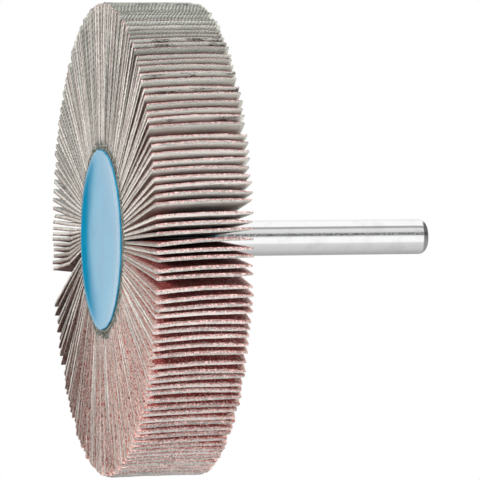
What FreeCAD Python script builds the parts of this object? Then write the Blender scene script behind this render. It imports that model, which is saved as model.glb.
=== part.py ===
import FreeCAD, Part
import math
import os
import random

# Mounted flap wheel, millimetres. The wheel stands on its front rim at z = 0, with the
# shank up along +Z. The running direction is clockwise, seen from the shank's end.

# Wheel and flaps
wheel_diameter = 80.0
flap_width = 16.0
flap_thickness = 0.40
flap_count = 164
flaps_per_bundle = 4
flap_skew = 2.2             # degrees that a flap is turned about its own radial line
tip_trim = 0.25             # the most that a worn tip falls short of the wheel's radius
side_trim = 0.20            # the most that a flap's side edge stands in from the wheel's side

# Root of a flap: a T-shaped tail held behind a lip of the cast core
root_gap = 0.02             # air between neighbours where they stand closest
tail_length = 1.0           # radial length of the T's head
tail_inset = 0.9            # how far the head stops short of the flap's sides
notch_depth = 2.2           # depth of the notch beside the neck
lip_width = 1.2             # radial width of the lip that fills the notch
seat_clearance = 0.05       # along the axis, between the lips and the flaps
radial_clearance = 0.15     # across the axis, between the drum, the lips and the flaps

# Cast resin core
face_proud = 0.3            # how far each end face stands out from the flaps
face_edge_chamfer = 0.35
dish_depth = 0.6            # hollow left in the front face where the resin shrank as it set
dish_slope = 4.0            # radial width over which the hollow rises to its rim
dish_rim = 0.6              # flat rim round the hollow, on which the wheel stands
collar_height = 0.9         # resin drawn up round the shank at the back
collar_foot = 1.1           # radial width of that collar where it meets the back face
collar_top = 0.15           # and at its top

# Steel shank
shank_diameter = 6.0
shank_reach = 40.8          # from the back of the flaps to the shank's end
shank_end_radius = 1.25
shank_front_cover = 2.0     # from the plane of the front rim to the shank's root
root_head_length = 4.0      # full diameter at the root's end, which locks it in the resin
waist_diameter = 5.0        # from that head to the shoulder, which seats on the collar
bond_line = 0.02            # between the shank and the resin

# Spread of the flaps round the wheel. The fan starts on one side of a seam and ends,
# crowded and bent, on the other.
seam_direction = 82.3       # degrees about +Z, from +X
seam_opening = 1.9          # angle between the roots at the seam, in regular pitches
crowd_count = 20            # pitches at the end of the fan that stand closer together
crowd_share = 0.83          # their pitch, in regular pitches
bent_count = 8              # flaps beside the seam that are bowed towards it
bent_bow = 1.25             # rise of the bow in the last one
bunch_least = 5             # flaps that cling together at their tips
bunch_most = 9
bunch_squeeze = 0.06        # share of a tip's offset from its bunch's middle that is lost
tip_scatter = 0.10          # random shift of a tip, in pitches
scatter_seed = 11

# Lean of a flap: degrees that its tip runs ahead of its root, at stations along the fan,
# each given as the share of the flaps that come before it.
lean_stations = (
    (0.00, 7.2),
    (0.05, 9.0),
    (0.20, 7.0),
    (0.30, 3.0),
    (0.47, 0.5),
    (0.55, -1.0),
    (0.75, -3.0),
    (0.88, 1.1),
    (0.945, 5.3),
    (1.00, 2.5),
)

# Sizes that follow from the driving dimensions
wheel_radius = wheel_diameter / 2
shank_radius = shank_diameter / 2
regular_pitch = 360 / (flap_count - 1 - crowd_count * (1 - crowd_share) + seam_opening)
root_radius = (flap_thickness + root_gap) / math.radians(regular_pitch * crowd_share)
neck_radius = root_radius + tail_length
disc_radius = neck_radius + lip_width
flap_front = face_proud
flap_back = flap_front + flap_width
flap_middle = (flap_front + flap_back) / 2
core_back = flap_back + face_proud
collar_end = core_back + collar_height
shank_end = flap_back + shank_reach
shank_shoulder = collar_end + bond_line


def polar(radius, angle, z=0.0):
    """Point at a radius and an angle in degrees about +Z."""
    turn = math.radians(angle)
    return FreeCAD.Vector(radius * math.cos(turn), radius * math.sin(turn), z)


def revolve_profile(edges):
    """Solid of revolution about the Z axis from a closed profile in the XZ plane."""
    face = Part.Face(Part.Wire(edges))
    return face.revolve(FreeCAD.Vector(0, 0, 0), FreeCAD.Vector(0, 0, 1), 360)


def profile_edges(points):
    """Straight edges along (radius, z) points; a third value is a rounding radius there."""
    starts = []
    ends = []
    arcs = []
    for index, point in enumerate(points):
        corner = FreeCAD.Vector(point[0], 0, point[1])
        if len(point) == 2:
            starts.append(corner)
            ends.append(corner)
            arcs.append(None)
            continue
        before = points[index - 1]
        after = points[(index + 1) % len(points)]
        to_before = (FreeCAD.Vector(before[0], 0, before[1]) - corner).normalize()
        to_after = (FreeCAD.Vector(after[0], 0, after[1]) - corner).normalize()
        half_turn = to_before.getAngle(to_after) / 2
        reach = point[2] / math.tan(half_turn)
        inset = point[2] / math.sin(half_turn) - point[2]
        inward = (to_before + to_after).normalize()
        starts.append(corner + to_before * reach)
        ends.append(corner + to_after * reach)
        arcs.append(Part.Arc(starts[index], corner + inward * inset, ends[index]).toShape())
    edges = []
    for index, end in enumerate(ends):
        if arcs[index]:
            edges.append(arcs[index])
        following = starts[(index + 1) % len(points)]
        edges.append(Part.LineSegment(end, following).toShape())
    return edges


def shank_root_profile(offset):
    """Headed and waisted root of the shank as (radius, z) points, grown by an offset."""
    full = shank_radius + offset
    waist = waist_diameter / 2 + offset
    head_low = shank_front_cover - offset
    head_high = shank_front_cover + root_head_length + offset
    shoulder = shank_shoulder - offset
    return [
        (0, head_low),
        (full, head_low),
        (full, head_high),
        (waist, head_high),
        (waist, shoulder),
        (full, shoulder),
    ]


def make_shank():
    """Plain steel shank with a rounded end and a headed root."""
    points = shank_root_profile(0.0)
    points.append((shank_radius, shank_end, shank_end_radius))
    points.append((0, shank_end))
    return revolve_profile(profile_edges(points))


def make_core():
    """Resin casting: two end discs with lips, a drum between them and a blind bore."""
    undercut = neck_radius + radial_clearance
    drum = root_radius - radial_clearance
    front_lip = flap_front + notch_depth - seat_clearance
    front_pocket = flap_front + tail_inset - seat_clearance
    back_pocket = flap_back - tail_inset + seat_clearance
    back_lip = flap_back - notch_depth + seat_clearance
    bore = shank_radius + bond_line
    rim_outside = disc_radius - face_edge_chamfer
    rim_inside = rim_outside - dish_rim
    points = [
        (0, dish_depth),
        (rim_inside - dish_slope, dish_depth),
        (rim_inside, 0),
        (rim_outside, 0),
        (disc_radius, face_edge_chamfer),
        (disc_radius, front_lip),
        (undercut, front_lip),
        (undercut, front_pocket),
        (drum, front_pocket),
        (drum, back_pocket),
        (undercut, back_pocket),
        (undercut, back_lip),
        (disc_radius, back_lip),
        (disc_radius, core_back - face_edge_chamfer),
        (disc_radius - face_edge_chamfer, core_back),
        (bore + collar_foot, core_back),
        (bore + collar_top, collar_end),
    ]
    points += reversed(shank_root_profile(bond_line))
    return revolve_profile(profile_edges(points))


def reach_along(root, along, radius):
    """Distance from a root, along a flap, to a radius from the wheel's axis."""
    inward = -root.dot(along)
    return inward + math.sqrt(inward ** 2 - root.Length ** 2 + radius ** 2)


def make_tail_cutters(root, along, ahead, depth):
    """Two L-shaped prisms that leave the T-shaped tail of one flap between them."""
    neck = reach_along(root, along, neck_radius)
    body = reach_along(root, along, disc_radius + radial_clearance)
    cutters = []
    for side, step in ((flap_front, 1), (flap_back, -1)):
        outer = side - step * flap_width / 2
        outline = [
            (-neck, outer),
            (body, outer),
            (body, side + step * notch_depth),
            (neck, side + step * notch_depth),
            (neck, side + step * tail_inset),
            (-neck, side + step * tail_inset),
        ]
        corners = []
        for reach, height in outline:
            corners.append(root + along * reach - ahead * depth + FreeCAD.Vector(0, 0, height))
        face = Part.Face(Part.makePolygon(corners + corners[:1]))
        cutters.append(face.extrude(ahead * 2 * depth))
    return cutters


def lean_at(share):
    """Lean of the flap that has this share of the flaps before it, in degrees."""
    for (low, low_lean), (high, high_lean) in zip(lean_stations, lean_stations[1:]):
        if share <= high:
            part = (share - low) / (high - low)
            eased = part * part * (3 - 2 * part)
            return low_lean + (high_lean - low_lean) * eased
    return lean_stations[-1][1]


def root_angles():
    """Angle of each flap's root from the seam, in the running direction."""
    angles = []
    angle = seam_opening * regular_pitch / 2
    for index in range(flap_count):
        angles.append(angle)
        crowded = index >= flap_count - 1 - crowd_count
        angle += regular_pitch * (crowd_share if crowded else 1)
    return angles


def tip_angles(roots, draw):
    """Angle of each flap's tip: its lean, the pull of its bunch and a random shift."""
    last = flap_count - 1
    leant = [root + lean_at(index / last) for index, root in enumerate(roots)]
    tips = list(leant)
    start = 0
    while start < flap_count - crowd_count:
        end = min(start + draw.randint(bunch_least, bunch_most), flap_count - crowd_count)
        middle = sum(leant[start:end]) / (end - start)
        for index in range(start, end):
            tips[index] += bunch_squeeze * (middle - leant[index])
        start = end
    for index in range(1, last):
        room = min(tips[index + 1] - tips[index], tips[index] - tips[index - 1])
        tips[index] += tip_scatter * room * draw.uniform(-1, 1)
    return tips


def make_flap(root_angle, tip_angle, bow, tip_short, front_short, back_short):
    """One leaf from its root to its tip, bowed in the running direction, with its tail cut."""
    root = polar(root_radius, seam_direction - root_angle)
    tip = polar(wheel_radius - tip_short, seam_direction - tip_angle)
    along = tip - root
    along.normalize()
    ahead = along.cross(FreeCAD.Vector(0, 0, 1))
    half = flap_thickness / 2
    middle = (root + tip) / 2 + ahead * bow
    edges = []
    for near, far, offset in ((root, tip, half), (tip, root, -half)):
        start = near + ahead * offset
        end = far + ahead * offset
        if bow:
            edges.append(Part.Arc(start, middle + ahead * offset, end).toShape())
        else:
            edges.append(Part.LineSegment(start, end).toShape())
        edges.append(Part.LineSegment(end, far - ahead * offset).toShape())
    strip = Part.Face(Part.Wire(edges))
    low = flap_front + front_short
    high = flap_back - back_short
    strip.translate(FreeCAD.Vector(0, 0, low))
    leaf = strip.extrude(FreeCAD.Vector(0, 0, high - low))
    cutters = make_tail_cutters(root, along, ahead, flap_thickness + bow)
    leaf = leaf.cut(cutters)
    leaf.rotate(root + FreeCAD.Vector(0, 0, flap_middle), along, flap_skew)
    return leaf.Solids[0]


def make_bundles():
    """All flaps, grouped with their neighbours into named bundles."""
    draw = random.Random(scatter_seed)
    roots = root_angles()
    tips = tip_angles(roots, draw)
    bundles = {}
    for index in range(flap_count):
        to_seam = flap_count - 1 - index
        bow = bent_bow * max(0.0, 1 - to_seam / bent_count)
        tip_short = tip_trim * draw.random()
        front_short = side_trim * draw.random()
        back_short = side_trim * draw.random()
        flap = make_flap(roots[index], tips[index], bow, tip_short, front_short, back_short)
        name = "flap_bundle_%02d" % (index // flaps_per_bundle + 1)
        bundles.setdefault(name, []).append(flap)
    return bundles


def write_parts():
    """Write each sub-part to its own file."""
    os.makedirs("parts", exist_ok=True)
    pieces = {"shank": make_shank(), "resin_core": make_core()}
    for name, flaps in make_bundles().items():
        pieces[name] = Part.makeCompound(flaps)
    for name, shape in pieces.items():
        shape.exportStep(os.path.join("parts", name + ".step"))


write_parts()
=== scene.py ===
"""Looks of a mounted flap wheel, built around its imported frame.

Sizes in the classes are in millimetres and meshes are in metres. In the photograph's view "up" is
the wheel's -X, "near" is its -Y and "right" is its +Z, along the shank.
"""

import logging
import math
import random
from collections.abc import Iterable, Sequence
from dataclasses import dataclass
from enum import IntEnum

import bpy
from mathutils import Matrix, Vector


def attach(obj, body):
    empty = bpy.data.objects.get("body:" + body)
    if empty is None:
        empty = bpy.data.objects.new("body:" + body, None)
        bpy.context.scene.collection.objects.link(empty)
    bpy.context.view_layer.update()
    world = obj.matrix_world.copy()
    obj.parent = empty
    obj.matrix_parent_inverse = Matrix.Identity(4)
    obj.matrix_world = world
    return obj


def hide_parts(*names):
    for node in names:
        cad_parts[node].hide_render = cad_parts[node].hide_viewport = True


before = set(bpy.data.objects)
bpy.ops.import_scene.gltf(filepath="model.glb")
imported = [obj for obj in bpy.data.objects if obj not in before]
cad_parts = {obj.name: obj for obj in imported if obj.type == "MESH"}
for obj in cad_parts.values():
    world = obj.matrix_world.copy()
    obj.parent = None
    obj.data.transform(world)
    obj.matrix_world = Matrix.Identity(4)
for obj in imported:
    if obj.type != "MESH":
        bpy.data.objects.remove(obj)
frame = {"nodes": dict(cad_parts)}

MM = 0.001
ROOT_BODY = "root"
# A length too small to matter, and how far a flat leaf may rise, in millimetres
HAIR = 0.01
FLAT_WITHIN = 0.02
# Spacing of the bands of a wave texture at scale 1
BAND_SPACING = 0.314

Piece = bpy.types.Object
Colour = tuple[float, float, float]
# Radius and height of a ring, and the two ends of a range
Ring = tuple[float, float]
Span = tuple[float, float]
Socket = bpy.types.NodeSocket
Value = Socket | float
Tone = Socket | Colour

log = logging.getLogger("flap_wheel")


class LeafSide(IntEnum):
    """Faces of a leaf, in the order of its material slots."""

    BACKING = 0
    GRIT = 1
    CUT = 2


@dataclass(frozen=True)
class WheelSizes:
    """Main sizes of the wheel, to which its pieces are built."""

    flap_width: float = 16.0
    face_proud: float = 0.3
    disc_radius: float = 15.2
    collar_height: float = 0.9
    shank_radius: float = 3.0
    shank_reach: float = 40.8

    @property
    def core_back(self) -> float:
        """Height of the core's back face."""
        return self.flap_width + 2 * self.face_proud

    @property
    def shank_end(self) -> float:
        """Height of the shank's end."""
        return self.face_proud + self.flap_width + self.shank_reach


WHEEL = WheelSizes()


def linear(red: int, green: int, blue: int) -> Colour:
    """Linear colour of an sRGB colour given as three values up to 255."""
    shares = [value / 255 for value in (red, green, blue)]
    return tuple(s / 12.92 if s <= 0.04045 else ((s + 0.055) / 1.055) ** 2.4 for s in shares)


def grey(tone: float) -> Colour:
    """Neutral colour of a tone."""
    return (tone, tone, tone)


def deselect_all() -> None:
    """Leave no object selected and none active, in object mode."""
    if bpy.context.object and bpy.context.object.mode != "OBJECT":
        bpy.ops.object.mode_set(mode="OBJECT")
    bpy.ops.object.select_all(action="DESELECT")
    bpy.context.view_layer.objects.active = None


class Recipe:
    """A material's node tree, built by short calls."""

    def __init__(self, name: str) -> None:
        """Start an empty material.

        Args:
            name: The material's name.
        """
        self.material = bpy.data.materials.new(name)
        self.material.use_nodes = True
        self.tree = self.material.node_tree
        self.tree.nodes.clear()

    @classmethod
    def for_world(cls, world: bpy.types.World) -> "Recipe":
        """Start an empty tree for a world instead of a material.

        Args:
            world: The world.

        Returns:
            The recipe.
        """
        recipe = cls.__new__(cls)
        recipe.tree = world.node_tree
        recipe.tree.nodes.clear()
        return recipe

    def node(self, kind: str, inputs: dict | None = None, **settings: object) -> bpy.types.Node:
        """Add a node.

        Args:
            kind: The node's type, without the leading "ShaderNode".
            inputs: Values or sockets for its inputs, by name or number.
            settings: Properties of the node.

        Returns:
            The node.
        """
        made = self.tree.nodes.new("ShaderNode" + kind)
        for key, value in settings.items():
            setattr(made, key, value)
        for key, value in (inputs or {}).items():
            if isinstance(value, Socket):
                self.tree.links.new(value, made.inputs[key])
            else:
                made.inputs[key].default_value = value
        return made

    def place(self) -> Socket:
        """Object coordinates."""
        return self.node("TexCoord").outputs["Object"]

    def reach(self) -> Socket:
        """Distance from the wheel's axis.

        Returns:
            The distance, in millimetres.
        """
        flat = self.node("VectorMath", {0: self.place(), 1: (1, 1, 0)}, operation="MULTIPLY")
        length = self.node("VectorMath", {0: flat.outputs[0]}, operation="LENGTH")
        return self.times(length.outputs["Value"], 1 / MM)

    def own(self, attribute: str) -> Socket:
        """A number that the mesh holds."""
        return self.node("Attribute", attribute_name=attribute).outputs["Fac"]

    def margins(self) -> tuple[Socket, Socket]:
        """Distances from a leaf's free edges.

        Returns:
            The distance from its tip and from its nearer side, in millimetres.
        """
        held = self.node("Attribute", attribute_name="leaf_margin").outputs["Vector"]
        parts = self.node("SeparateXYZ", {0: held}).outputs
        return parts["X"], parts["Y"]

    def math(self, operation: str, first: Value, second: Value = 0.0) -> Socket:
        """Result of an operation on one or two numbers."""
        return self.node("Math", {0: first, 1: second}, operation=operation).outputs[0]

    def plus(self, first: Value, second: Value) -> Socket:
        """Sum of two numbers."""
        return self.math("ADD", first, second)

    def times(self, first: Value, second: Value) -> Socket:
        """Product of two numbers."""
        return self.math("MULTIPLY", first, second)

    def spread(
        self, value: Value, low: float, high: float, new_low: float = 0.0, new_high: float = 1.0
    ) -> Socket:
        """Map a value softly from one range to another, and hold it inside it.

        Args:
            value: The value.
            low: Start of its range.
            high: End of its range.
            new_low: What the start becomes.
            new_high: What the end becomes.

        Returns:
            The mapped value.
        """
        inputs = {
            "Value": value, "From Min": low, "From Max": high, "To Min": new_low, "To Max": new_high,
        }
        return self.node("MapRange", inputs, interpolation_type="SMOOTHSTEP").outputs["Result"]

    def noise(self, where: Socket, grain: float, detail: float, rough: float) -> Socket:
        """Noise from 0 to 1.

        Args:
            where: The coordinates.
            grain: Size of its largest spots, in the coordinates' unit.
            detail: Octaves.
            rough: Share that each octave keeps.

        Returns:
            The noise's value.
        """
        inputs = {"Vector": where, "Scale": 1 / grain, "Detail": detail, "Roughness": rough}
        return self.node("TexNoise", inputs).outputs["Fac"]

    def grains(self, where: Socket, size: float) -> tuple[Socket, Socket]:
        """Closely packed grains.

        Args:
            where: The coordinates.
            size: Size of a grain, in the coordinates' unit.

        Returns:
            The distance from a grain's middle, and the grain's own random tone.
        """
        cells = self.node("TexVoronoi", {"Vector": where, "Scale": 1 / size}).outputs
        return cells["Distance"], self.node("SeparateColor", {0: cells["Color"]}).outputs[0]

    def mix(self, share: Value, first: Tone, second: Tone) -> Socket:
        """Mix two colours.

        Args:
            share: Share of the second one.
            first: The first colour.
            second: The second colour.

        Returns:
            The mixed colour.
        """
        made = self.node("Mix", data_type="RGBA")
        for key, value in ((0, share), (6, first), (7, second)):
            if isinstance(value, Socket):
                self.tree.links.new(value, made.inputs[key])
            else:
                made.inputs[key].default_value = value if key == 0 else (*value, 1)
        return made.outputs[2]

    def bump(self, height: Socket, depth: float, strength: float = 1.0) -> Socket:
        """Normals of a relief.

        Args:
            height: Its height, from 0 to 1.
            depth: The height of 1, in millimetres.
            strength: Share of the relief that shows.

        Returns:
            The normals.
        """
        inputs = {"Height": height, "Distance": depth * MM, "Strength": strength}
        return self.node("Bump", inputs).outputs["Normal"]

    def finish(self, inputs: dict) -> bpy.types.Material:
        """Close the tree with a Principled shader.

        Args:
            inputs: Its inputs.

        Returns:
            The material.
        """
        shader = self.node("BsdfPrincipled", inputs)
        self.node("OutputMaterial", {"Surface": shader.outputs[0]})
        return self.material


@dataclass(frozen=True)
class ClothBacking:
    """Pale cotton twill on the back of a leaf."""

    pale: Colour = linear(214, 219, 211)
    grey: Colour = linear(166, 170, 161)
    smudge: Colour = linear(58, 52, 48)
    soaked: Colour = linear(96, 96, 90)
    thread: float = 0.52
    twill_turn: float = 1.05
    cloud_size: float = 5.0
    fleck_size: float = 0.45
    relief: float = 0.05
    smear_stretch: tuple[float, float, float] = (0.5, 0.16, 1)
    smeared_leaves: Span = (0.8, 0.9)
    soaked_within: Span = (15.0, 18.5)

    def weave(self, recipe: Recipe, grid: Socket) -> Socket:
        """Diagonal ribs of the twill, crossed by fainter ones.

        Args:
            recipe: The material's recipe.
            grid: The leaf's flat coordinates.

        Returns:
            Height of the cloth, from 0 to 1.
        """
        ribs = []
        for turn in (self.twill_turn, self.twill_turn - math.pi / 2):
            turned = recipe.node("Mapping", {"Vector": grid, "Rotation": (0, 0, turn)}).outputs[0]
            scale = BAND_SPACING / self.thread
            inputs = {"Vector": turned, "Scale": scale, "Distortion": 1.6, "Detail": 2.0}
            ribs.append(recipe.node("TexWave", inputs, wave_type="BANDS").outputs["Fac"])
        return recipe.plus(recipe.times(ribs[0], 0.75), recipe.times(ribs[1], 0.25))

    def material(self) -> bpy.types.Material:
        """Twill, smeared on a few leaves and soaked with resin near the root.

        Returns:
            The material.
        """
        recipe = Recipe("cotton_backing")
        grid = recipe.node("UVMap", uv_map="leaf").outputs["UV"]
        tint = recipe.own("leaf_tint")
        cloud = recipe.noise(recipe.place(), self.cloud_size * MM, 4.0, 0.65)
        fleck = recipe.noise(recipe.place(), self.fleck_size * MM, 3.0, 0.75)
        cloth = self.weave(recipe, grid)
        shade = recipe.plus(recipe.times(cloud, 0.4), recipe.times(fleck, 0.5))
        shade = recipe.plus(shade, recipe.times(cloth, 0.22))
        shade = recipe.plus(shade, recipe.times(tint, 0.2))
        colour = recipe.mix(recipe.spread(shade, 0.42, 0.86), self.grey, self.pale)
        along = recipe.node("Mapping", {"Vector": grid, "Scale": self.smear_stretch}).outputs[0]
        smear = recipe.spread(recipe.noise(along, 1.0, 4.0, 0.75), 0.49, 0.58)
        smear = recipe.times(smear, recipe.spread(tint, *self.smeared_leaves, 0.0, 0.9))
        smear = recipe.times(smear, recipe.spread(fleck, 0.35, 0.55))
        colour = recipe.mix(smear, colour, self.smudge)
        soak = recipe.spread(recipe.reach(), *self.soaked_within, 0.85, 0.0)
        colour = recipe.mix(soak, colour, self.soaked)
        return recipe.finish({
            "Base Color": colour,
            "Roughness": recipe.spread(cloud, 0.3, 0.7, 0.82, 0.95),
            "Normal": recipe.bump(recipe.plus(cloth, fleck), self.relief, 0.9),
            "Sheen Weight": 0.1,
        })


@dataclass(frozen=True)
class GritCoat:
    """Red-brown abrasive grain on the front of a leaf, knocked pale along its edges."""

    bond: Colour = linear(132, 58, 58)
    grain: Colour = linear(248, 208, 200)
    middle: Colour = linear(206, 102, 96)
    dark: Colour = linear(74, 30, 31)
    knocked: Colour = linear(234, 202, 192)
    grain_size: float = 0.30
    cloud_size: float = 6.0
    chip_size: float = 0.5
    margin: float = 0.24
    side_scale: float = 0.33
    relief: float = 0.14

    def material(self) -> bpy.types.Material:
        """Close grains of mixed tones in a darker bond, with small bright facets.

        Returns:
            The material.
        """
        recipe = Recipe("red_grit")
        place = recipe.place()
        distance, tone = recipe.grains(place, self.grain_size * MM)
        cloud = recipe.noise(place, self.cloud_size * MM, 3.0, 0.6)
        grains = recipe.spread(distance, 0.25, 0.6, 1.0, 0.0)
        stone = recipe.mix(recipe.spread(tone, 0.15, 0.6), self.dark, self.middle)
        stone = recipe.mix(recipe.spread(tone, 0.78, 0.92), stone, self.grain)
        colour = recipe.mix(grains, self.bond, stone)
        colour = recipe.mix(recipe.spread(cloud, 0.45, 0.75, 0.0, 0.3), colour, self.middle)
        chips = recipe.math("SUBTRACT", recipe.noise(place, self.chip_size * MM, 3.0, 0.7), 0.5)
        to_tip, to_side = recipe.margins()
        edge = recipe.math("MINIMUM", to_tip, recipe.times(to_side, self.side_scale))
        edge = recipe.plus(edge, recipe.times(chips, 1.2))
        knocked = recipe.spread(edge, 0.3 * self.margin, 1.4 * self.margin, 0.95, 0.0)
        pale = recipe.mix(recipe.spread(tone, 0.0, 0.25), self.middle, self.knocked)
        return recipe.finish({
            "Base Color": recipe.mix(knocked, colour, pale),
            "Roughness": recipe.spread(tone, 0.2, 0.9, 0.75, 0.4),
            "Normal": recipe.bump(recipe.times(grains, recipe.plus(tone, 0.3)), self.relief),
            "Specular IOR Level": 0.5,
        })


@dataclass(frozen=True)
class CutEdge:
    """Cut edge of a leaf: fibres of the cloth, and the coat of grit along one side of it. Its fibres
    are one colour in a lighter copy on the sides and a darker copy at the tip, as painted light and
    shade.
    """

    # Painted light and shade: fibre and dull at the tip are darker copies of side_fibre and side_dull
    # on the sides.
    fibre: Colour = linear(190, 186, 181)
    dull: Colour = linear(134, 132, 127)
    side_fibre: Colour = linear(216, 211, 203)
    side_dull: Colour = linear(150, 147, 140)
    grit: Colour = linear(138, 88, 86)
    grain: Colour = linear(222, 190, 185)
    # Painted shade: dark brown laid over the grit coat on the side edges, where the gaps between
    # leaves are in shade.
    painted_side_shade: Colour = linear(78, 66, 63)
    soaked: Colour = linear(92, 96, 90)
    grain_size: float = 0.2
    fray_size: float = 0.34
    cloud_size: float = 3.0
    cloth_share: float = 0.64
    blur: float = 0.06
    tip_zone: Span = (0.1, 0.8)
    soaked_within: Span = (16.6, 18.6)
    relief: float = 0.14

    def material(self) -> bpy.types.Material:
        """Frayed pale fibres, red towards the grit, soaked near the root. Painted shade darkens the
        grit on the side edges, and the fibres are painted darker at the tip than on the sides.

        Returns:
            The material.
        """
        recipe = Recipe("cut_edge")
        place = recipe.place()
        fray = recipe.noise(place, self.fray_size * MM, 3.0, 0.75)
        cloud = recipe.noise(place, self.cloud_size * MM, 3.0, 0.6)
        _, tone = recipe.grains(place, self.grain_size * MM)
        to_tip, _ = recipe.margins()
        at_side = recipe.spread(to_tip, *self.tip_zone)
        # Painted light and shade: the tip takes the darker copy of the fibres, the sides the lighter.
        fibre = recipe.mix(at_side, self.fibre, self.side_fibre)
        dull = recipe.mix(at_side, self.dull, self.side_dull)
        shade = recipe.plus(fray, recipe.times(cloud, 0.3))
        shade = recipe.plus(shade, recipe.times(recipe.own("leaf_tint"), 0.2))
        colour = recipe.mix(recipe.spread(shade, 0.6, 0.85), dull, fibre)
        stone = recipe.mix(recipe.spread(tone, 0.45, 0.9), self.grit, self.grain)
        # Painted shade over the grit coat of the side edges.
        stone = recipe.mix(recipe.times(at_side, 0.75), stone, self.painted_side_shade)
        colour = recipe.mix(recipe.spread(fray, 0.6, 0.66, 0.0, 0.4), colour, stone)
        ragged = recipe.plus(recipe.times(tone, 0.5), recipe.times(fray, 1.5))
        ragged = recipe.math("SUBTRACT", ragged, 1.0)
        ragged = recipe.plus(ragged, recipe.spread(to_tip, *self.tip_zone, self.blur, -self.blur))
        across = recipe.plus(recipe.own("leaf_across"), ragged)
        in_coat = recipe.spread(across, self.cloth_share - self.blur, self.cloth_share + self.blur)
        colour = recipe.mix(in_coat, colour, stone)
        soak = recipe.plus(recipe.reach(), recipe.times(cloud, 3.0))
        colour = recipe.mix(recipe.spread(soak, *self.soaked_within, 0.8, 0.0), colour, self.soaked)
        return recipe.finish({
            "Base Color": colour,
            "Roughness": recipe.spread(fray, 0.3, 0.7, 0.8, 0.95),
            "Normal": recipe.bump(fray, self.relief),
        })


@dataclass(frozen=True)
class SoakedFringe:
    """Resin that has crept between the roots of the leaves round the disc."""

    pale: Colour = linear(186, 186, 174)
    dark: Colour = linear(40, 43, 39)
    mottle_size: float = 0.3
    relief: float = 0.15

    def material(self) -> bpy.types.Material:
        """Grey-green crust, mottled along the leaves.

        Returns:
            The material.
        """
        recipe = Recipe("soaked_fringe")
        mottle = recipe.noise(recipe.place(), self.mottle_size * MM, 4.0, 0.8)
        return recipe.finish({
            "Base Color": recipe.mix(recipe.spread(mottle, 0.46, 0.62), self.dark, self.pale),
            "Roughness": recipe.spread(mottle, 0.3, 0.7, 0.4, 0.8),
            "Normal": recipe.bump(mottle, self.relief, 0.9),
        })


@dataclass(frozen=True)
class CastResin:
    """Glossy blue cast resin, with painted shade darkening it away from the front disc."""

    deep: Colour = linear(0, 129, 167)
    light: Colour = linear(0, 139, 175)
    # Painted shade: the blue of the back of the core, inside the wheel among the leaf roots.
    unlit: Colour = linear(0, 84, 112)
    cloud_size: float = 7.0
    pinhole_size: float = 0.5
    ripple_size: float = 5.0
    relief: float = 0.05
    unlit_from: float = 2.0
    unlit_at: float = 9.0

    def material(self) -> bpy.types.Material:
        """Blue resin with cloudy depth, pinholes and a smooth skin, and painted shade over its back.

        Returns:
            The material.
        """
        recipe = Recipe("blue_resin")
        place = recipe.place()
        cloud = recipe.noise(place, self.cloud_size * MM, 3.0, 0.55)
        pinhole = recipe.noise(place, self.pinhole_size * MM, 2.0, 0.5)
        ripple = recipe.noise(place, self.ripple_size * MM, 1.5, 0.5)
        colour = recipe.mix(recipe.spread(cloud, 0.35, 0.7), self.deep, self.light)
        rise = recipe.node("SeparateXYZ", {0: place}).outputs["Z"]
        # Painted shade: darkens the resin from unlit_from to unlit_at above the front disc.
        back = recipe.spread(rise, self.unlit_from * MM, self.unlit_at * MM)
        return recipe.finish({
            "Base Color": recipe.mix(back, colour, self.unlit),
            "Roughness": recipe.spread(pinhole, 0.55, 0.8, 0.10, 0.3),
            "Normal": recipe.bump(ripple, self.relief, 0.5),
            "IOR": 1.6,
        })


@dataclass(frozen=True)
class GroundSteel:
    """Bright ground steel with one scuffed line along its near side."""

    steel: Colour = linear(250, 250, 251)
    stain: Colour = linear(186, 187, 188)
    scuff: Colour = linear(150, 152, 152)
    scuff_low: float = 0.25
    scuff_high: float = 0.75
    scuff_blur: float = 0.1
    ring_size: float = 2.0
    ring_squeeze: float = 6.0
    cloud_size: float = 3.0
    fleck_size: float = 0.22
    relief: float = 0.012

    def scuffed_line(self, recipe: Recipe, place: Socket) -> Socket:
        """Where the scuffed line runs, on the side that faces the camera.

        Args:
            recipe: The material's recipe.
            place: Object coordinates.

        Returns:
            1 on the line and 0 off it.
        """
        parts = recipe.node("SeparateXYZ", {0: place}).outputs
        height = recipe.times(parts["X"], -1 / MM)
        low, high, blur = self.scuff_low, self.scuff_high, self.scuff_blur
        above = recipe.spread(height, low - blur, low + blur)
        below = recipe.spread(height, high - blur, high + blur, 1.0, 0.0)
        near = recipe.math("LESS_THAN", parts["Y"], 0.0)
        return recipe.times(recipe.times(above, below), near)

    def material(self) -> bpy.types.Material:
        """Steel with fine rings left by grinding, faint stains and the scuffed line.

        Returns:
            The material.
        """
        recipe = Recipe("ground_steel")
        place = recipe.place()
        squeezed = recipe.node("Mapping", {"Vector": place, "Scale": (1, 1, self.ring_squeeze)})
        rings = recipe.noise(squeezed.outputs[0], self.ring_size * MM, 5.0, 0.8)
        cloud = recipe.noise(place, self.cloud_size * MM, 3.0, 0.6)
        fleck = recipe.noise(place, self.fleck_size * MM, 3.0, 0.7)
        line = self.scuffed_line(recipe, place)
        colour = recipe.mix(recipe.spread(cloud, 0.45, 0.8, 0.0, 0.25), self.steel, self.stain)
        colour = recipe.mix(recipe.times(line, recipe.spread(fleck, 0.38, 0.58)), colour, self.scuff)
        relief = recipe.plus(rings, recipe.times(recipe.times(line, fleck), 1.5))
        return recipe.finish({
            "Base Color": colour,
            "Metallic": 1.0,
            "Roughness": recipe.spread(rings, 0.3, 0.75, 0.05, 0.12),
            "Normal": recipe.bump(relief, self.relief, 0.6),
        })


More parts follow.
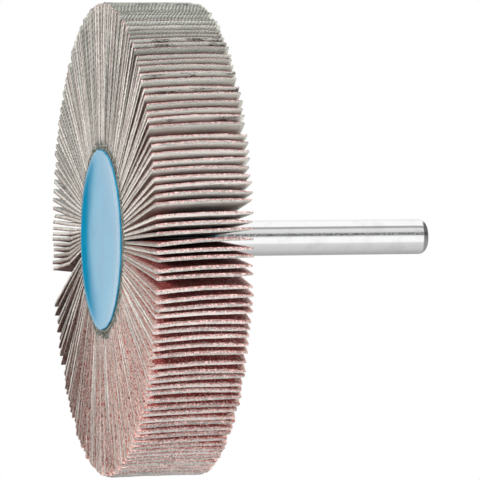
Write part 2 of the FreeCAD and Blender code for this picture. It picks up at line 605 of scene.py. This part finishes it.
@dataclass(frozen=True)
class StudioFloor:
    """Plain pale floor that shows from above only."""

    pale: Colour = linear(245, 245, 245)
    paler: Colour = linear(250, 250, 250)
    grain_size: float = 2.0

    def material(self) -> bpy.types.Material:
        """White paper that camera rays see from its upper side alone.

        Returns:
            The material.
        """
        recipe = Recipe("white_floor")
        path = recipe.node("LightPath").outputs
        upper = recipe.math("SUBTRACT", 1.0, recipe.node("NewGeometry").outputs["Backfacing"])
        shown = recipe.times(path["Is Camera Ray"], upper)
        grain = recipe.noise(recipe.place(), self.grain_size * MM, 2.0, 0.5)
        paper = recipe.node("BsdfDiffuse", {"Color": recipe.mix(grain, self.pale, self.paler)})
        clear = recipe.node("BsdfTransparent")
        both = recipe.node("MixShader", {0: shown, 1: clear.outputs[0], 2: paper.outputs[0]})
        recipe.node("OutputMaterial", {"Surface": both.outputs[0]})
        return recipe.material


@dataclass
class Lathe:
    """Turns a piece about the Z axis from rings, as on a lathe."""

    steps: int
    smooth_below: float = math.radians(40)

    def turn(self, name: str, rings: Sequence[Ring], hollow: bool = False) -> Piece:
        """Turn a closed piece.

        Args:
            name: The piece's name.
            rings: The rings, in millimetres, from one pole to the other.
            hollow: Whether the piece is a ring, whose last ring joins its first.

        Returns:
            The piece, smooth, with its poles closed unless it is a ring.
        """
        deselect_all()
        radius, height = rings[0]
        bpy.ops.mesh.primitive_circle_add(
            vertices=self.steps, radius=radius * MM, location=(0, 0, height * MM), fill_type="NOTHING"
        )
        piece = bpy.context.object
        piece.name = name
        bpy.ops.object.transform_apply(location=True)
        bpy.ops.object.mode_set(mode="EDIT")
        bpy.ops.mesh.select_all(action="SELECT")
        if not hollow:
            bpy.ops.mesh.edge_face_add()
            bpy.ops.mesh.select_all(action="SELECT")
        bpy.ops.mesh.select_mode(type="EDGE")
        for next_radius, next_height in [*rings[1:], rings[0]] if hollow else rings[1:]:
            rise = (0, 0, (next_height - height) * MM)
            bpy.ops.mesh.extrude_edges_move(TRANSFORM_OT_translate={"value": rise})
            share = next_radius / radius
            bpy.ops.transform.resize(
                value=(share, share, 1), center_override=(0, 0, next_height * MM)
            )
            radius, height = next_radius, next_height
        if not hollow:
            bpy.ops.mesh.edge_face_add()
        bpy.ops.mesh.select_all(action="SELECT")
        bpy.ops.mesh.remove_doubles(threshold=0.001 * MM)
        bpy.ops.mesh.normals_make_consistent(inside=False)
        bpy.ops.object.mode_set(mode="OBJECT")
        bpy.ops.object.shade_smooth_by_angle(angle=self.smooth_below)
        return piece


def quarter_turn(steps: int) -> list[tuple[float, float]]:
    """Sine and cosine of evenly spaced angles from 0 to 90 degrees."""
    turns = [math.radians(90 / steps * step) for step in range(steps + 1)]
    return [(math.sin(turn), math.cos(turn)) for turn in turns]


@dataclass
class CadLeaf:
    """One leaf as the frame holds it, in metres."""

    root: Vector
    along: Vector
    axial: Vector
    length: float
    low: float
    high: float
    bow: float

    @property
    def ahead(self) -> Vector:
        """Direction in which the grit faces."""
        return self.along.cross(self.axial)


def leaves_of(node: Piece) -> list[CadLeaf]:
    """Read the leaves of one bundle from its node.

    Args:
        node: The node, which is only read.

    Returns:
        Its leaves, in the order of their angle about the axis.
    """
    points = [tuple(vertex.co) for vertex in node.data.vertices]
    group = {point: point for point in points}

    def head(point: tuple) -> tuple:
        """First point of the group that a point is in."""
        while group[point] != point:
            point = group[point]
        return point

    for face in node.data.polygons:
        corners = [head(points[index]) for index in face.vertices]
        for corner in corners[1:]:
            group[head(corner)] = head(corners[0])
    solids: dict[tuple, list[Vector]] = {}
    for point in group:
        solids.setdefault(head(point), []).append(Vector(point))
    leaves = [read_leaf(solid) for solid in solids.values()]
    middle = sum((leaf.root for leaf in leaves), Vector())
    side = Vector((0, 0, 1)).cross(middle)
    return sorted(leaves, key=lambda leaf: leaf.root.dot(side))


def read_leaf(points: list[Vector]) -> CadLeaf:
    """Work out the place of one leaf from its corners.

    Args:
        points: Its corners, of which the innermost four are its root and the outermost four its tip.

    Returns:
        The leaf.
    """
    outward = sorted(points, key=lambda point: point.xy.length)
    root = sum(outward[:4], Vector()) / 4
    tips = sorted(outward[-4:], key=lambda point: point.z)
    tip = sum(tips, Vector()) / 4
    axial = ((tips[2] + tips[3]) - (tips[0] + tips[1])).normalized()
    along = (tip - root).normalized()
    along = (along - axial * along.dot(axial)).normalized()
    ahead = along.cross(axial)
    half = abs((tips[0] - tips[1]).dot(ahead)) / 2
    rise = max((point - root).dot(ahead) for point in points) - half
    return CadLeaf(
        root=root,
        along=along,
        axial=axial,
        length=(tip - root).length,
        low=(tips[0] - root).dot(axial),
        high=(tips[3] - root).dot(axial),
        bow=max(0.0, rise - FLAT_WITHIN * MM),
    )


@dataclass
class LeafHabit:
    """Small irregularities of one leaf."""

    tint: float
    twist: float
    sway: float
    phase: float
    curl: float
    cup: float
    slip: float
    shift: Vector


@dataclass
class FlapFan:
    """Fan of abrasive leaves, in bundles of four.

    A leaf hooks into the core by its tail and is narrowest at its neck. It thickens up to full_at,
    and its rear corner is worn thin. From twist on, the sizes say how much leaves differ.
    """

    length: float = 27.0
    width: float = WHEEL.flap_width
    thickness: float = 0.40
    tail: float = 1.0
    neck: float = 2.35
    tail_inset: float = 0.9
    notch: float = 2.2
    full_at: float = 13.0
    tip_swell: float = 0.5
    worn_from: float = 0.6
    worn: float = 0.5
    side_from: float = 0.99
    corner: float = 0.3
    fray: float = 0.08
    chip: float = 0.2
    root_rise: float = 0.12
    twist: float = 0.05
    sway: float = 0.06
    sway_turn: float = 2.2
    curl: float = 0.05
    cup: float = 0.3
    cup_spread: float = 0.3
    slip: float = 0.1
    slip_limit: float = 0.2
    cloth_roll: float = 40.0
    smooth_below: float = math.radians(30)
    seed: int = 5

    def model_leaf(self) -> Piece:
        """Model one flat leaf: X from its root to its tip, Y through it, Z across it.

        Returns:
            The leaf.
        """
        deselect_all()
        half = self.width / 2
        middle = (self.length * MM / 2, 0, 0)
        bpy.ops.mesh.primitive_plane_add(size=1, location=middle, rotation=(math.pi / 2, 0, 0))
        leaf = bpy.context.object
        leaf.name = "leaf_pattern"
        leaf.scale = (self.length * MM, self.width * MM, 1)
        bpy.ops.object.transform_apply(location=True, rotation=True, scale=True)
        bpy.ops.object.mode_set(mode="EDIT")
        bpy.ops.mesh.select_mode(type="FACE")
        for station in (self.tail, self.neck, self.full_at):
            self.bisect(leaf, (station, 0, 0), (1, 0, 0))
        for station in (-self.worn_from * half, 0, self.worn_from * half):
            self.bisect(leaf, (0, 0, station), (0, 0, 1))
        for station in (self.tail_inset, self.notch):
            self.bisect(leaf, (0, 0, half - station), (0, 0, 1), self.neck)
            self.bisect(leaf, (0, 0, station - half), (0, 0, 1), self.neck)
        self.remove_notches(leaf)
        self.round_corners(leaf)
        bpy.ops.object.mode_set(mode="OBJECT")
        wall = leaf.modifiers.new("wall", "SOLIDIFY")
        wall.thickness = self.thickness * MM
        wall.offset = 0
        wall.use_even_offset = True
        bpy.ops.object.modifier_apply(modifier="wall")
        return leaf

    def bisect(self, leaf: Piece, place: tuple, normal: tuple, reach: float | None = None) -> None:
        """Cut the leaf along a plane, both sides kept.

        Args:
            leaf: The leaf, in edit mode with its faces selected one by one.
            place: A point of the plane, in millimetres.
            normal: The plane's normal.
            reach: How far from its root the leaf is cut, or None for all of it.
        """
        bpy.ops.object.mode_set(mode="OBJECT")
        for face in leaf.data.polygons:
            face.select = reach is None or face.center.x < reach * MM
        bpy.ops.object.mode_set(mode="EDIT")
        bpy.ops.mesh.bisect(plane_co=tuple(value * MM for value in place), plane_no=normal)

    def remove_notches(self, leaf: Piece) -> None:
        """Delete the faces beside the tail and the neck.

        Args:
            leaf: The leaf, in edit mode.
        """
        bpy.ops.mesh.select_all(action="DESELECT")
        bpy.ops.object.mode_set(mode="OBJECT")
        half = self.width / 2
        for face in leaf.data.polygons:
            reach = face.center.x / MM
            margin = half - abs(face.center.z) / MM
            in_tail = reach < self.tail and margin < self.tail_inset
            in_neck = self.tail < reach < self.neck and margin < self.notch
            face.select = in_tail or in_neck
        bpy.ops.object.mode_set(mode="EDIT")
        bpy.ops.mesh.select_mode(type="FACE")
        bpy.ops.mesh.delete(type="FACE")

    def round_corners(self, leaf: Piece) -> None:
        """Round the two corners of the tip.

        Args:
            leaf: The leaf, in edit mode.
        """
        bpy.ops.mesh.select_mode(type="VERT")
        bpy.ops.mesh.select_all(action="DESELECT")
        bpy.ops.object.mode_set(mode="OBJECT")
        for vertex in leaf.data.vertices:
            x, _, z = vertex.co / MM
            vertex.select = x > self.length - HAIR and abs(z) > self.width / 2 - HAIR
        bpy.ops.object.mode_set(mode="EDIT")
        bpy.ops.mesh.bevel(affect="VERTICES", offset=self.corner * MM, segments=2)

    def draw_habit(self, draw: random.Random) -> LeafHabit:
        """Draw the irregularities of the next leaf.

        Args:
            draw: Their source.

        Returns:
            The irregularities.
        """
        return LeafHabit(
            tint=draw.random(),
            twist=draw.gauss(0, self.twist),
            sway=draw.gauss(0, self.sway),
            phase=draw.uniform(0, math.tau),
            curl=draw.gauss(0, self.curl),
            cup=self.cup * draw.uniform(1 - self.cup_spread, 1 + self.cup_spread),
            slip=max(-self.slip_limit, min(self.slip_limit, draw.gauss(0, self.slip))),
            shift=Vector((draw.uniform(0, self.cloth_roll), draw.uniform(0, self.cloth_roll))),
        )

    def mark(self, mesh: bpy.types.Mesh, habit: LeafHabit) -> None:
        """Number the materials of a flat leaf and store what they read.

        Args:
            mesh: The leaf's mesh, still flat.
            habit: The leaf's irregularities.
        """
        grain = mesh.uv_layers.new(name="leaf")
        for loop in mesh.loops:
            flat = mesh.vertices[loop.vertex_index].co / MM
            grain.data[loop.index].uv = Vector((flat.x, flat.z + flat.y)) + habit.shift
        for face in mesh.polygons:
            if abs(face.normal.y) < 0.5:
                face.material_index = LeafSide.CUT
            else:
                face.material_index = LeafSide.GRIT if face.normal.y < 0 else LeafSide.BACKING
        tints = mesh.attributes.new("leaf_tint", "FLOAT", "POINT")
        across = mesh.attributes.new("leaf_across", "FLOAT", "POINT")
        margin = mesh.attributes.new("leaf_margin", "FLOAT_VECTOR", "POINT")
        for vertex in mesh.vertices:
            x, y, z = vertex.co / MM
            tints.data[vertex.index].value = habit.tint
            across.data[vertex.index].value = 0.0 if y > 0 else 1.0
            margin.data[vertex.index].vector = (self.length - x, self.width / 2 - abs(z), 0)

    def moved(self, flat: Vector, cad: CadLeaf, habit: LeafHabit, uneven: float) -> Vector:
        """Where a point of the flat leaf lies in the wheel.

        Args:
            flat: The point, in millimetres.
            cad: The leaf's place.
            habit: The leaf's irregularities.
            uneven: The point's own unevenness, from -1 to 1.

        Returns:
            Its place, in metres.
        """
        x, y, z = flat
        half = self.width / 2
        share = x / self.length
        side = z / half
        on_side = abs(side) > self.side_from
        chipped = self.chip if y < 0 else 0.0
        if x > self.length - HAIR:
            x += self.fray * uneven - chipped
        if on_side and x > self.neck + 10 * HAIR:
            z += math.copysign(self.fray * (1 + uneven) - chipped, z)
        if on_side and x > self.neck - HAIR:
            z += math.copysign(self.root_rise * (1 - share) ** 3, z)
        spans = (cad.high if z > 0 else -cad.low) / (half * MM)
        full = min(1.0, max(0.0, (x - self.tail) / (self.full_at - self.tail)))
        worn = self.worn * max(0.0, side - self.worn_from) / (1 - self.worn_from)
        thick = -y * (1 + self.tip_swell * full) * (1 - worn * full)
        wave = habit.twist * side + habit.sway * math.cos(self.sway_turn * side + habit.phase)
        wave = share * share * (wave + habit.cup * (0.5 - side * side))
        arch = 4 * share * (1 - share)
        return (
            cad.root
            + cad.along * (x * cad.length / self.length)
            + cad.axial * (z * spans + habit.slip * full) * MM
            + cad.ahead * ((thick + wave + habit.curl * arch) * MM + cad.bow * arch)
        )

    def place_leaf(self, pattern: Piece, cad: CadLeaf, draw: random.Random) -> Piece:
        """Copy the pattern onto one leaf of the frame, with its own small irregularities.

        Args:
            pattern: The modelled leaf.
            cad: The leaf's place.
            draw: Source of its irregularities.

        Returns:
            The copy.
        """
        mesh = pattern.data.copy()
        leaf = bpy.data.objects.new("leaf", mesh)
        bpy.context.scene.collection.objects.link(leaf)
        habit = self.draw_habit(draw)
        self.mark(mesh, habit)
        uneven: dict[tuple, float] = {}
        for vertex in mesh.vertices:
            flat = vertex.co / MM
            spot = (round(flat.x, 2), round(flat.z, 2))
            if spot not in uneven:
                uneven[spot] = draw.uniform(-1, 1)
            vertex.co = self.moved(flat, cad, habit, uneven[spot])
        mesh.update()
        return leaf

    def join(self, leaves: list[Piece], name: str) -> Piece:
        """Join the leaves of one bundle.

        Args:
            leaves: The leaves.
            name: Name of the node that they take the place of.

        Returns:
            The bundle.
        """
        deselect_all()
        for leaf in leaves:
            leaf.select_set(True)
        bpy.context.view_layer.objects.active = leaves[0]
        bpy.ops.object.join()
        bundle = bpy.context.object
        bundle.name = name.replace("flap_bundle", "cloth_flaps")
        bpy.ops.object.mode_set(mode="EDIT")
        bpy.ops.mesh.select_all(action="SELECT")
        bpy.ops.mesh.normals_make_consistent(inside=False)
        bpy.ops.object.mode_set(mode="OBJECT")
        bpy.ops.object.shade_smooth_by_angle(angle=self.smooth_below)
        return bundle

    def build(self, nodes: dict[str, Piece]) -> None:
        """Build all bundles.

        Args:
            nodes: The frame's nodes.
        """
        draw = random.Random(self.seed)
        pattern = self.model_leaf()
        for finish in (ClothBacking(), GritCoat(), CutEdge()):
            pattern.data.materials.append(finish.material())
        names = sorted(name for name in nodes if name.startswith("flap_bundle_"))
        for name in names:
            leaves = [self.place_leaf(pattern, cad, draw) for cad in leaves_of(nodes[name])]
            bundle = self.join(leaves, name)
            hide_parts(name)
            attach(bundle, ROOT_BODY)
        bpy.data.objects.remove(pattern)
        log.info("cloth flaps: %d bundles", len(names))


@dataclass
class ResinHub:
    """Cast core with its hollow front disc, and the crust of resin round it."""

    disc_radius: float = WHEEL.disc_radius
    back: float = WHEEL.core_back
    dish: float = 0.6
    dish_curve: float = 4.5
    dish_steps: int = 16
    lip: float = 0.14
    rim: float = 0.18
    rim_steps: int = 5
    lip_depth: float = 2.15
    drum: float = 12.8
    pocket: float = 14.0
    collar: tuple[Ring, ...] = (
        (5.6, 0.0), (4.3, 0.08), (3.55, 0.35), (3.2, WHEEL.collar_height), (3.03, WHEEL.collar_height),
    )
    wobbles: tuple[tuple[float, int, float], ...] = ((0.06, 9, 0.0), (0.05, 23, 1.0), (0.04, 41, 2.0))
    wobble_width: float = 1.0
    steps: int = 192
    crust: tuple[Ring, ...] = (
        (-0.1, 0.34), (0.15, 0.22), (0.7, 0.18), (1.5, 0.38), (1.5, 0.7), (-0.1, 0.7),
    )
    crust_reach: float = 1.5
    crust_steps: int = 492
    crust_ragged: float = 0.4
    crust_uneven: float = 0.06
    crust_seed: int = 23

    def rings(self) -> list[Ring]:
        """Rings of the core.

        Returns:
            Radius and height of each ring, from the front pole to the collar's mouth.
        """
        inner = self.disc_radius - self.rim - self.lip
        rings = []
        for step in range(1, self.dish_steps + 1):
            share = step / self.dish_steps
            rings.append((inner * share, self.dish * (1 - share ** self.dish_curve)))
        edge = self.disc_radius - self.rim
        for sine, cosine in quarter_turn(self.rim_steps):
            rings.append((edge + self.rim * sine, self.rim - self.rim * cosine))
        inward = (self.disc_radius, self.pocket, self.drum)
        rings += [(radius, self.lip_depth) for radius in inward]
        rings += [(radius, self.back - self.lip_depth) for radius in reversed(inward)]
        for sine, cosine in quarter_turn(self.rim_steps):
            rings.append((edge + self.rim * cosine, self.back - self.rim + self.rim * sine))
        return rings + [(radius, self.back + rise) for radius, rise in self.collar]

    def build_crust(self) -> None:
        """Build the ragged crust that leads from the disc to the leaves."""
        edge = self.disc_radius
        rings = [(edge + out, height) for out, height in self.crust]
        crust = Lathe(self.crust_steps).turn("soaked_fringe", rings, hollow=True)
        draw = random.Random(self.crust_seed)
        ragged = [draw.uniform(-1, 1) for _ in range(self.crust_steps)]
        for vertex in crust.data.vertices:
            radius = vertex.co.xy.length / MM
            out = max(0.0, (radius - edge) / self.crust_reach)
            turn = round(math.atan2(vertex.co.y, vertex.co.x) / math.tau * self.crust_steps)
            scale = 1 + self.crust_ragged * out * ragged[turn % self.crust_steps] / radius
            vertex.co.x *= scale
            vertex.co.y *= scale
            uneven = self.crust_uneven * ragged[turn * 7 % self.crust_steps]
            vertex.co.z += uneven * (1 - abs(2 * out - 1)) * MM
        crust.data.materials.append(SoakedFringe().material())
        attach(crust, ROOT_BODY)
        log.info("soaked fringe: %d faces", len(crust.data.polygons))

    def build_core(self) -> None:
        """Build the core, with the slight wobble of its disc's edge."""
        core = Lathe(self.steps).turn("resin_hub", self.rings())
        start = self.disc_radius - self.wobble_width
        for vertex in core.data.vertices:
            reach = vertex.co.xy.length / MM
            if reach > start:
                turn = math.atan2(vertex.co.y, vertex.co.x)
                waves = (size * math.sin(count * turn + phase) for size, count, phase in self.wobbles)
                scale = 1 + sum(waves) * (reach - start) / reach
                vertex.co.x *= scale
                vertex.co.y *= scale
        core.data.materials.append(CastResin().material())
        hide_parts("resin_core")
        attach(core, ROOT_BODY)
        log.info("resin hub: %d faces", len(core.data.polygons))

    def build(self) -> None:
        """Build the crust and the core."""
        self.build_crust()
        self.build_core()


@dataclass
class Shank:
    """Ground steel shank with a rounded end."""

    radius: float = WHEEL.shank_radius
    end: float = WHEEL.shank_end
    low: float = 17.0
    foot_share: float = 0.8
    first_ring: float = 20.0
    rounding: float = 1.25
    rounding_steps: int = 8
    shoulder: float = 0.2
    steps: int = 128

    def build(self) -> None:
        """Build the free length of the shank."""
        straight = self.end - self.rounding
        rings = [(self.radius * self.foot_share, self.low), (self.radius, self.low)]
        rings += [(self.radius, self.first_ring), (self.radius, straight - self.shoulder)]
        for sine, cosine in quarter_turn(self.rounding_steps):
            rings.append((
                self.radius - self.rounding + self.rounding * cosine,
                straight + self.rounding * sine,
            ))
        shank = Lathe(self.steps).turn("ground_shank", rings)
        shank.data.materials.append(GroundSteel().material())
        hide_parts("shank")
        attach(shank, ROOT_BODY)
        log.info("shank: %d faces", len(shank.data.polygons))


@dataclass(frozen=True)
class SoftLamp:
    """A rectangular lamp that faces the wheel and shows in no reflection."""

    name: str
    place: tuple[float, float, float]
    size: tuple[float, float]
    power: float

    def hang(self, target: Vector) -> None:
        """Hang the lamp.

        Args:
            target: The point that it faces, in metres.
        """
        data = bpy.data.lights.new(self.name, "AREA")
        data.shape = "RECTANGLE"
        data.size, data.size_y = (side * MM for side in self.size)
        data.energy = self.power
        lamp = bpy.data.objects.new(self.name, data)
        lamp.visible_glossy = False
        bpy.context.scene.collection.objects.link(lamp)
        lamp.location = Vector(self.place) * MM
        lamp.rotation_euler = (target - lamp.location).to_track_quat("-Z", "Y").to_euler()


@dataclass
class Studio:
    """Camera, floor, backdrop and lamps.

    The camera's turns are in radians. A strip is an angle round the shank, in degrees, and its tone,
    and the outer two lie at -180 and 180.
    """

    distance: float = 700.0
    yaw: float = 0.254136
    pitch: float = 0.002369
    roll: float = 0.009947
    aim_x: float = -23.1237
    aim_y: float = 0.0356
    front_plane: float = 0.4
    lens: float = 312.336
    sensor: float = 36.0
    clip: Span = (0.01, 20)
    floor_size: float = 6000
    floor_drop: float = 0.05
    ambient: float = 0.03
    outer_strips: tuple[float, float] = (0.38, 0.86)
    strips: tuple[tuple[float, float], ...] = (
        (-150, 0.40), (-131, 0.42), (-106, 0.50), (-88, 0.58), (-60, 0.64), (-40, 0.72),
        (-33, 1.0), (3, 1.0), (8, 0.40), (28, 0.40), (36, 0.74), (57, 0.80), (61, 0.40),
        (75, 0.40), (79, 1.0), (121, 1.0), (150, 0.88),
    )
    end_tones: tuple[float, float] = (0.3, 0.14)
    end_height: Span = (-0.5, 0.3)
    end_from: Span = (0.44, 0.64)
    card_tones: tuple[float, float] = (0.02, 1.0)
    card_from: Span = (-0.42, -0.255)
    card_height: Span = (0.09, 0.16)
    card_sector: Span = (2.45, 2.7)
    card_below: Span = (0.02, 0.12)
    target: tuple[float, float, float] = (0, 0, 20)
    lamps: tuple[SoftLamp, ...] = (
        SoftLamp("key_lamp", (140, -600, 150), (300, 180), 2.8),
        SoftLamp("upper_lamp", (-540, -300, 150), (260, 260), 2.3),
        SoftLamp("lower_lamp", (440, -435, 150), (260, 260), 2.1),
        SoftLamp("fan_lamp", (-195, -230, -630), (140, 140), 7.0),
        SoftLamp("back_lamp", (-200, 420, 380), (300, 300), 2.0),
    )

    def camera(self) -> None:
        """Set the camera at the photograph's viewing angle."""
        turn = (
            Matrix.Rotation(self.roll, 3, "Z")
            @ Matrix.Rotation(self.pitch, 3, "X")
            @ Matrix.Rotation(self.yaw, 3, "Y")
        )
        lay_down = Matrix(((0, 0, 1), (-1, 0, 0), (0, -1, 0)))
        aim = Vector((self.aim_x, self.aim_y, -self.distance))
        shift = aim - turn @ Vector((self.front_plane, 0, 0))
        back = (turn @ lay_down).transposed()
        data = bpy.data.cameras.new("camera")
        data.lens = self.lens
        data.sensor_width = self.sensor
        data.clip_start, data.clip_end = self.clip
        camera = bpy.data.objects.new("camera", data)
        bpy.context.scene.collection.objects.link(camera)
        camera.matrix_world = Matrix.Translation(back @ (-shift) * MM) @ back.to_4x4()
        bpy.context.scene.camera = camera

    def reflections(self, recipe: Recipe) -> Socket:
        """What shiny pieces reflect: grey strips along the shank, and a card before the disc.

        Args:
            recipe: The world's recipe.

        Returns:
            The colour.
        """
        ray = recipe.node("TexCoord").outputs["Generated"]
        parts = recipe.node("SeparateXYZ", {0: ray}).outputs
        up = recipe.times(parts["X"], -1.0)
        near = recipe.times(parts["Y"], -1.0)
        turn = recipe.math("ARCTAN2", up, near)
        share = recipe.plus(recipe.times(turn, 0.5 / math.pi), 0.5)
        strips = recipe.node("ValToRGB", {0: share})
        stops = strips.color_ramp.elements
        for stop, tone in zip(stops, self.outer_strips):
            stop.color = (*grey(tone), 1)
        for degrees, tone in self.strips:
            stops.new((degrees + 180) / 360).color = (*grey(tone), 1)
        end = recipe.mix(recipe.spread(up, *self.end_height), *map(grey, self.end_tones))
        side = recipe.mix(recipe.spread(parts["Z"], *self.end_from), strips.outputs["Color"], end)
        card = recipe.spread(recipe.math("ABSOLUTE", up), *self.card_height, 1.0, 0.0)
        card = recipe.times(card, recipe.spread(parts["Z"], *self.card_from))
        front = recipe.mix(card, *map(grey, self.card_tones))
        behind = recipe.spread(recipe.math("ABSOLUTE", turn), *self.card_sector)
        below = recipe.spread(parts["Z"], *self.card_below, 1.0, 0.0)
        return recipe.mix(recipe.times(behind, below), side, front)

    def world(self) -> None:
        """White to the camera, strips and card to reflections, and a faint light for the rest."""
        world = bpy.data.worlds.new("studio")
        bpy.context.scene.world = world
        world.use_nodes = True
        recipe = Recipe.for_world(world)
        path = recipe.node("LightPath").outputs
        seen = recipe.math("MAXIMUM", path["Is Camera Ray"], path["Is Transmission Ray"])
        white = (*grey(1), 1)
        lights = []
        shades = ((white, self.ambient), (self.reflections(recipe), 1.0), (white, 1.0))
        for colour, strength in shades:
            inputs = {"Color": colour, "Strength": strength}
            lights.append(recipe.node("Background", inputs).outputs[0])
        inner = recipe.node("MixShader", {0: path["Is Glossy Ray"], 1: lights[0], 2: lights[1]})
        outer = recipe.node("MixShader", {0: seen, 1: inner.outputs[0], 2: lights[2]})
        recipe.node("OutputWorld", {"Surface": outer.outputs[0]})

    def floor(self) -> None:
        """Lay the floor just under the wheel."""
        deselect_all()
        bpy.ops.mesh.primitive_plane_add(
            size=self.floor_size * MM, location=(0, 0, -self.floor_drop * MM)
        )
        floor = bpy.context.object
        floor.name = "floor"
        bpy.ops.object.transform_apply(location=True)
        floor.data.materials.append(StudioFloor().material())

    def build(self) -> None:
        """Set the whole studio."""
        self.camera()
        self.world()
        self.floor()
        for lamp in self.lamps:
            lamp.hang(Vector(self.target) * MM)
        log.info("studio: %d lamps", len(self.lamps))


def main() -> None:
    """Build the pieces in order."""
    logging.basicConfig(level=logging.INFO, format="%(name)s: %(message)s")
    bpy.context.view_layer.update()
    bpy.context.scene.view_settings.view_transform = "Standard"
    FlapFan().build(frame["nodes"])
    ResinHub().build()
    Shank().build()
    Studio().build()


if __name__ == "__main__":
    main()
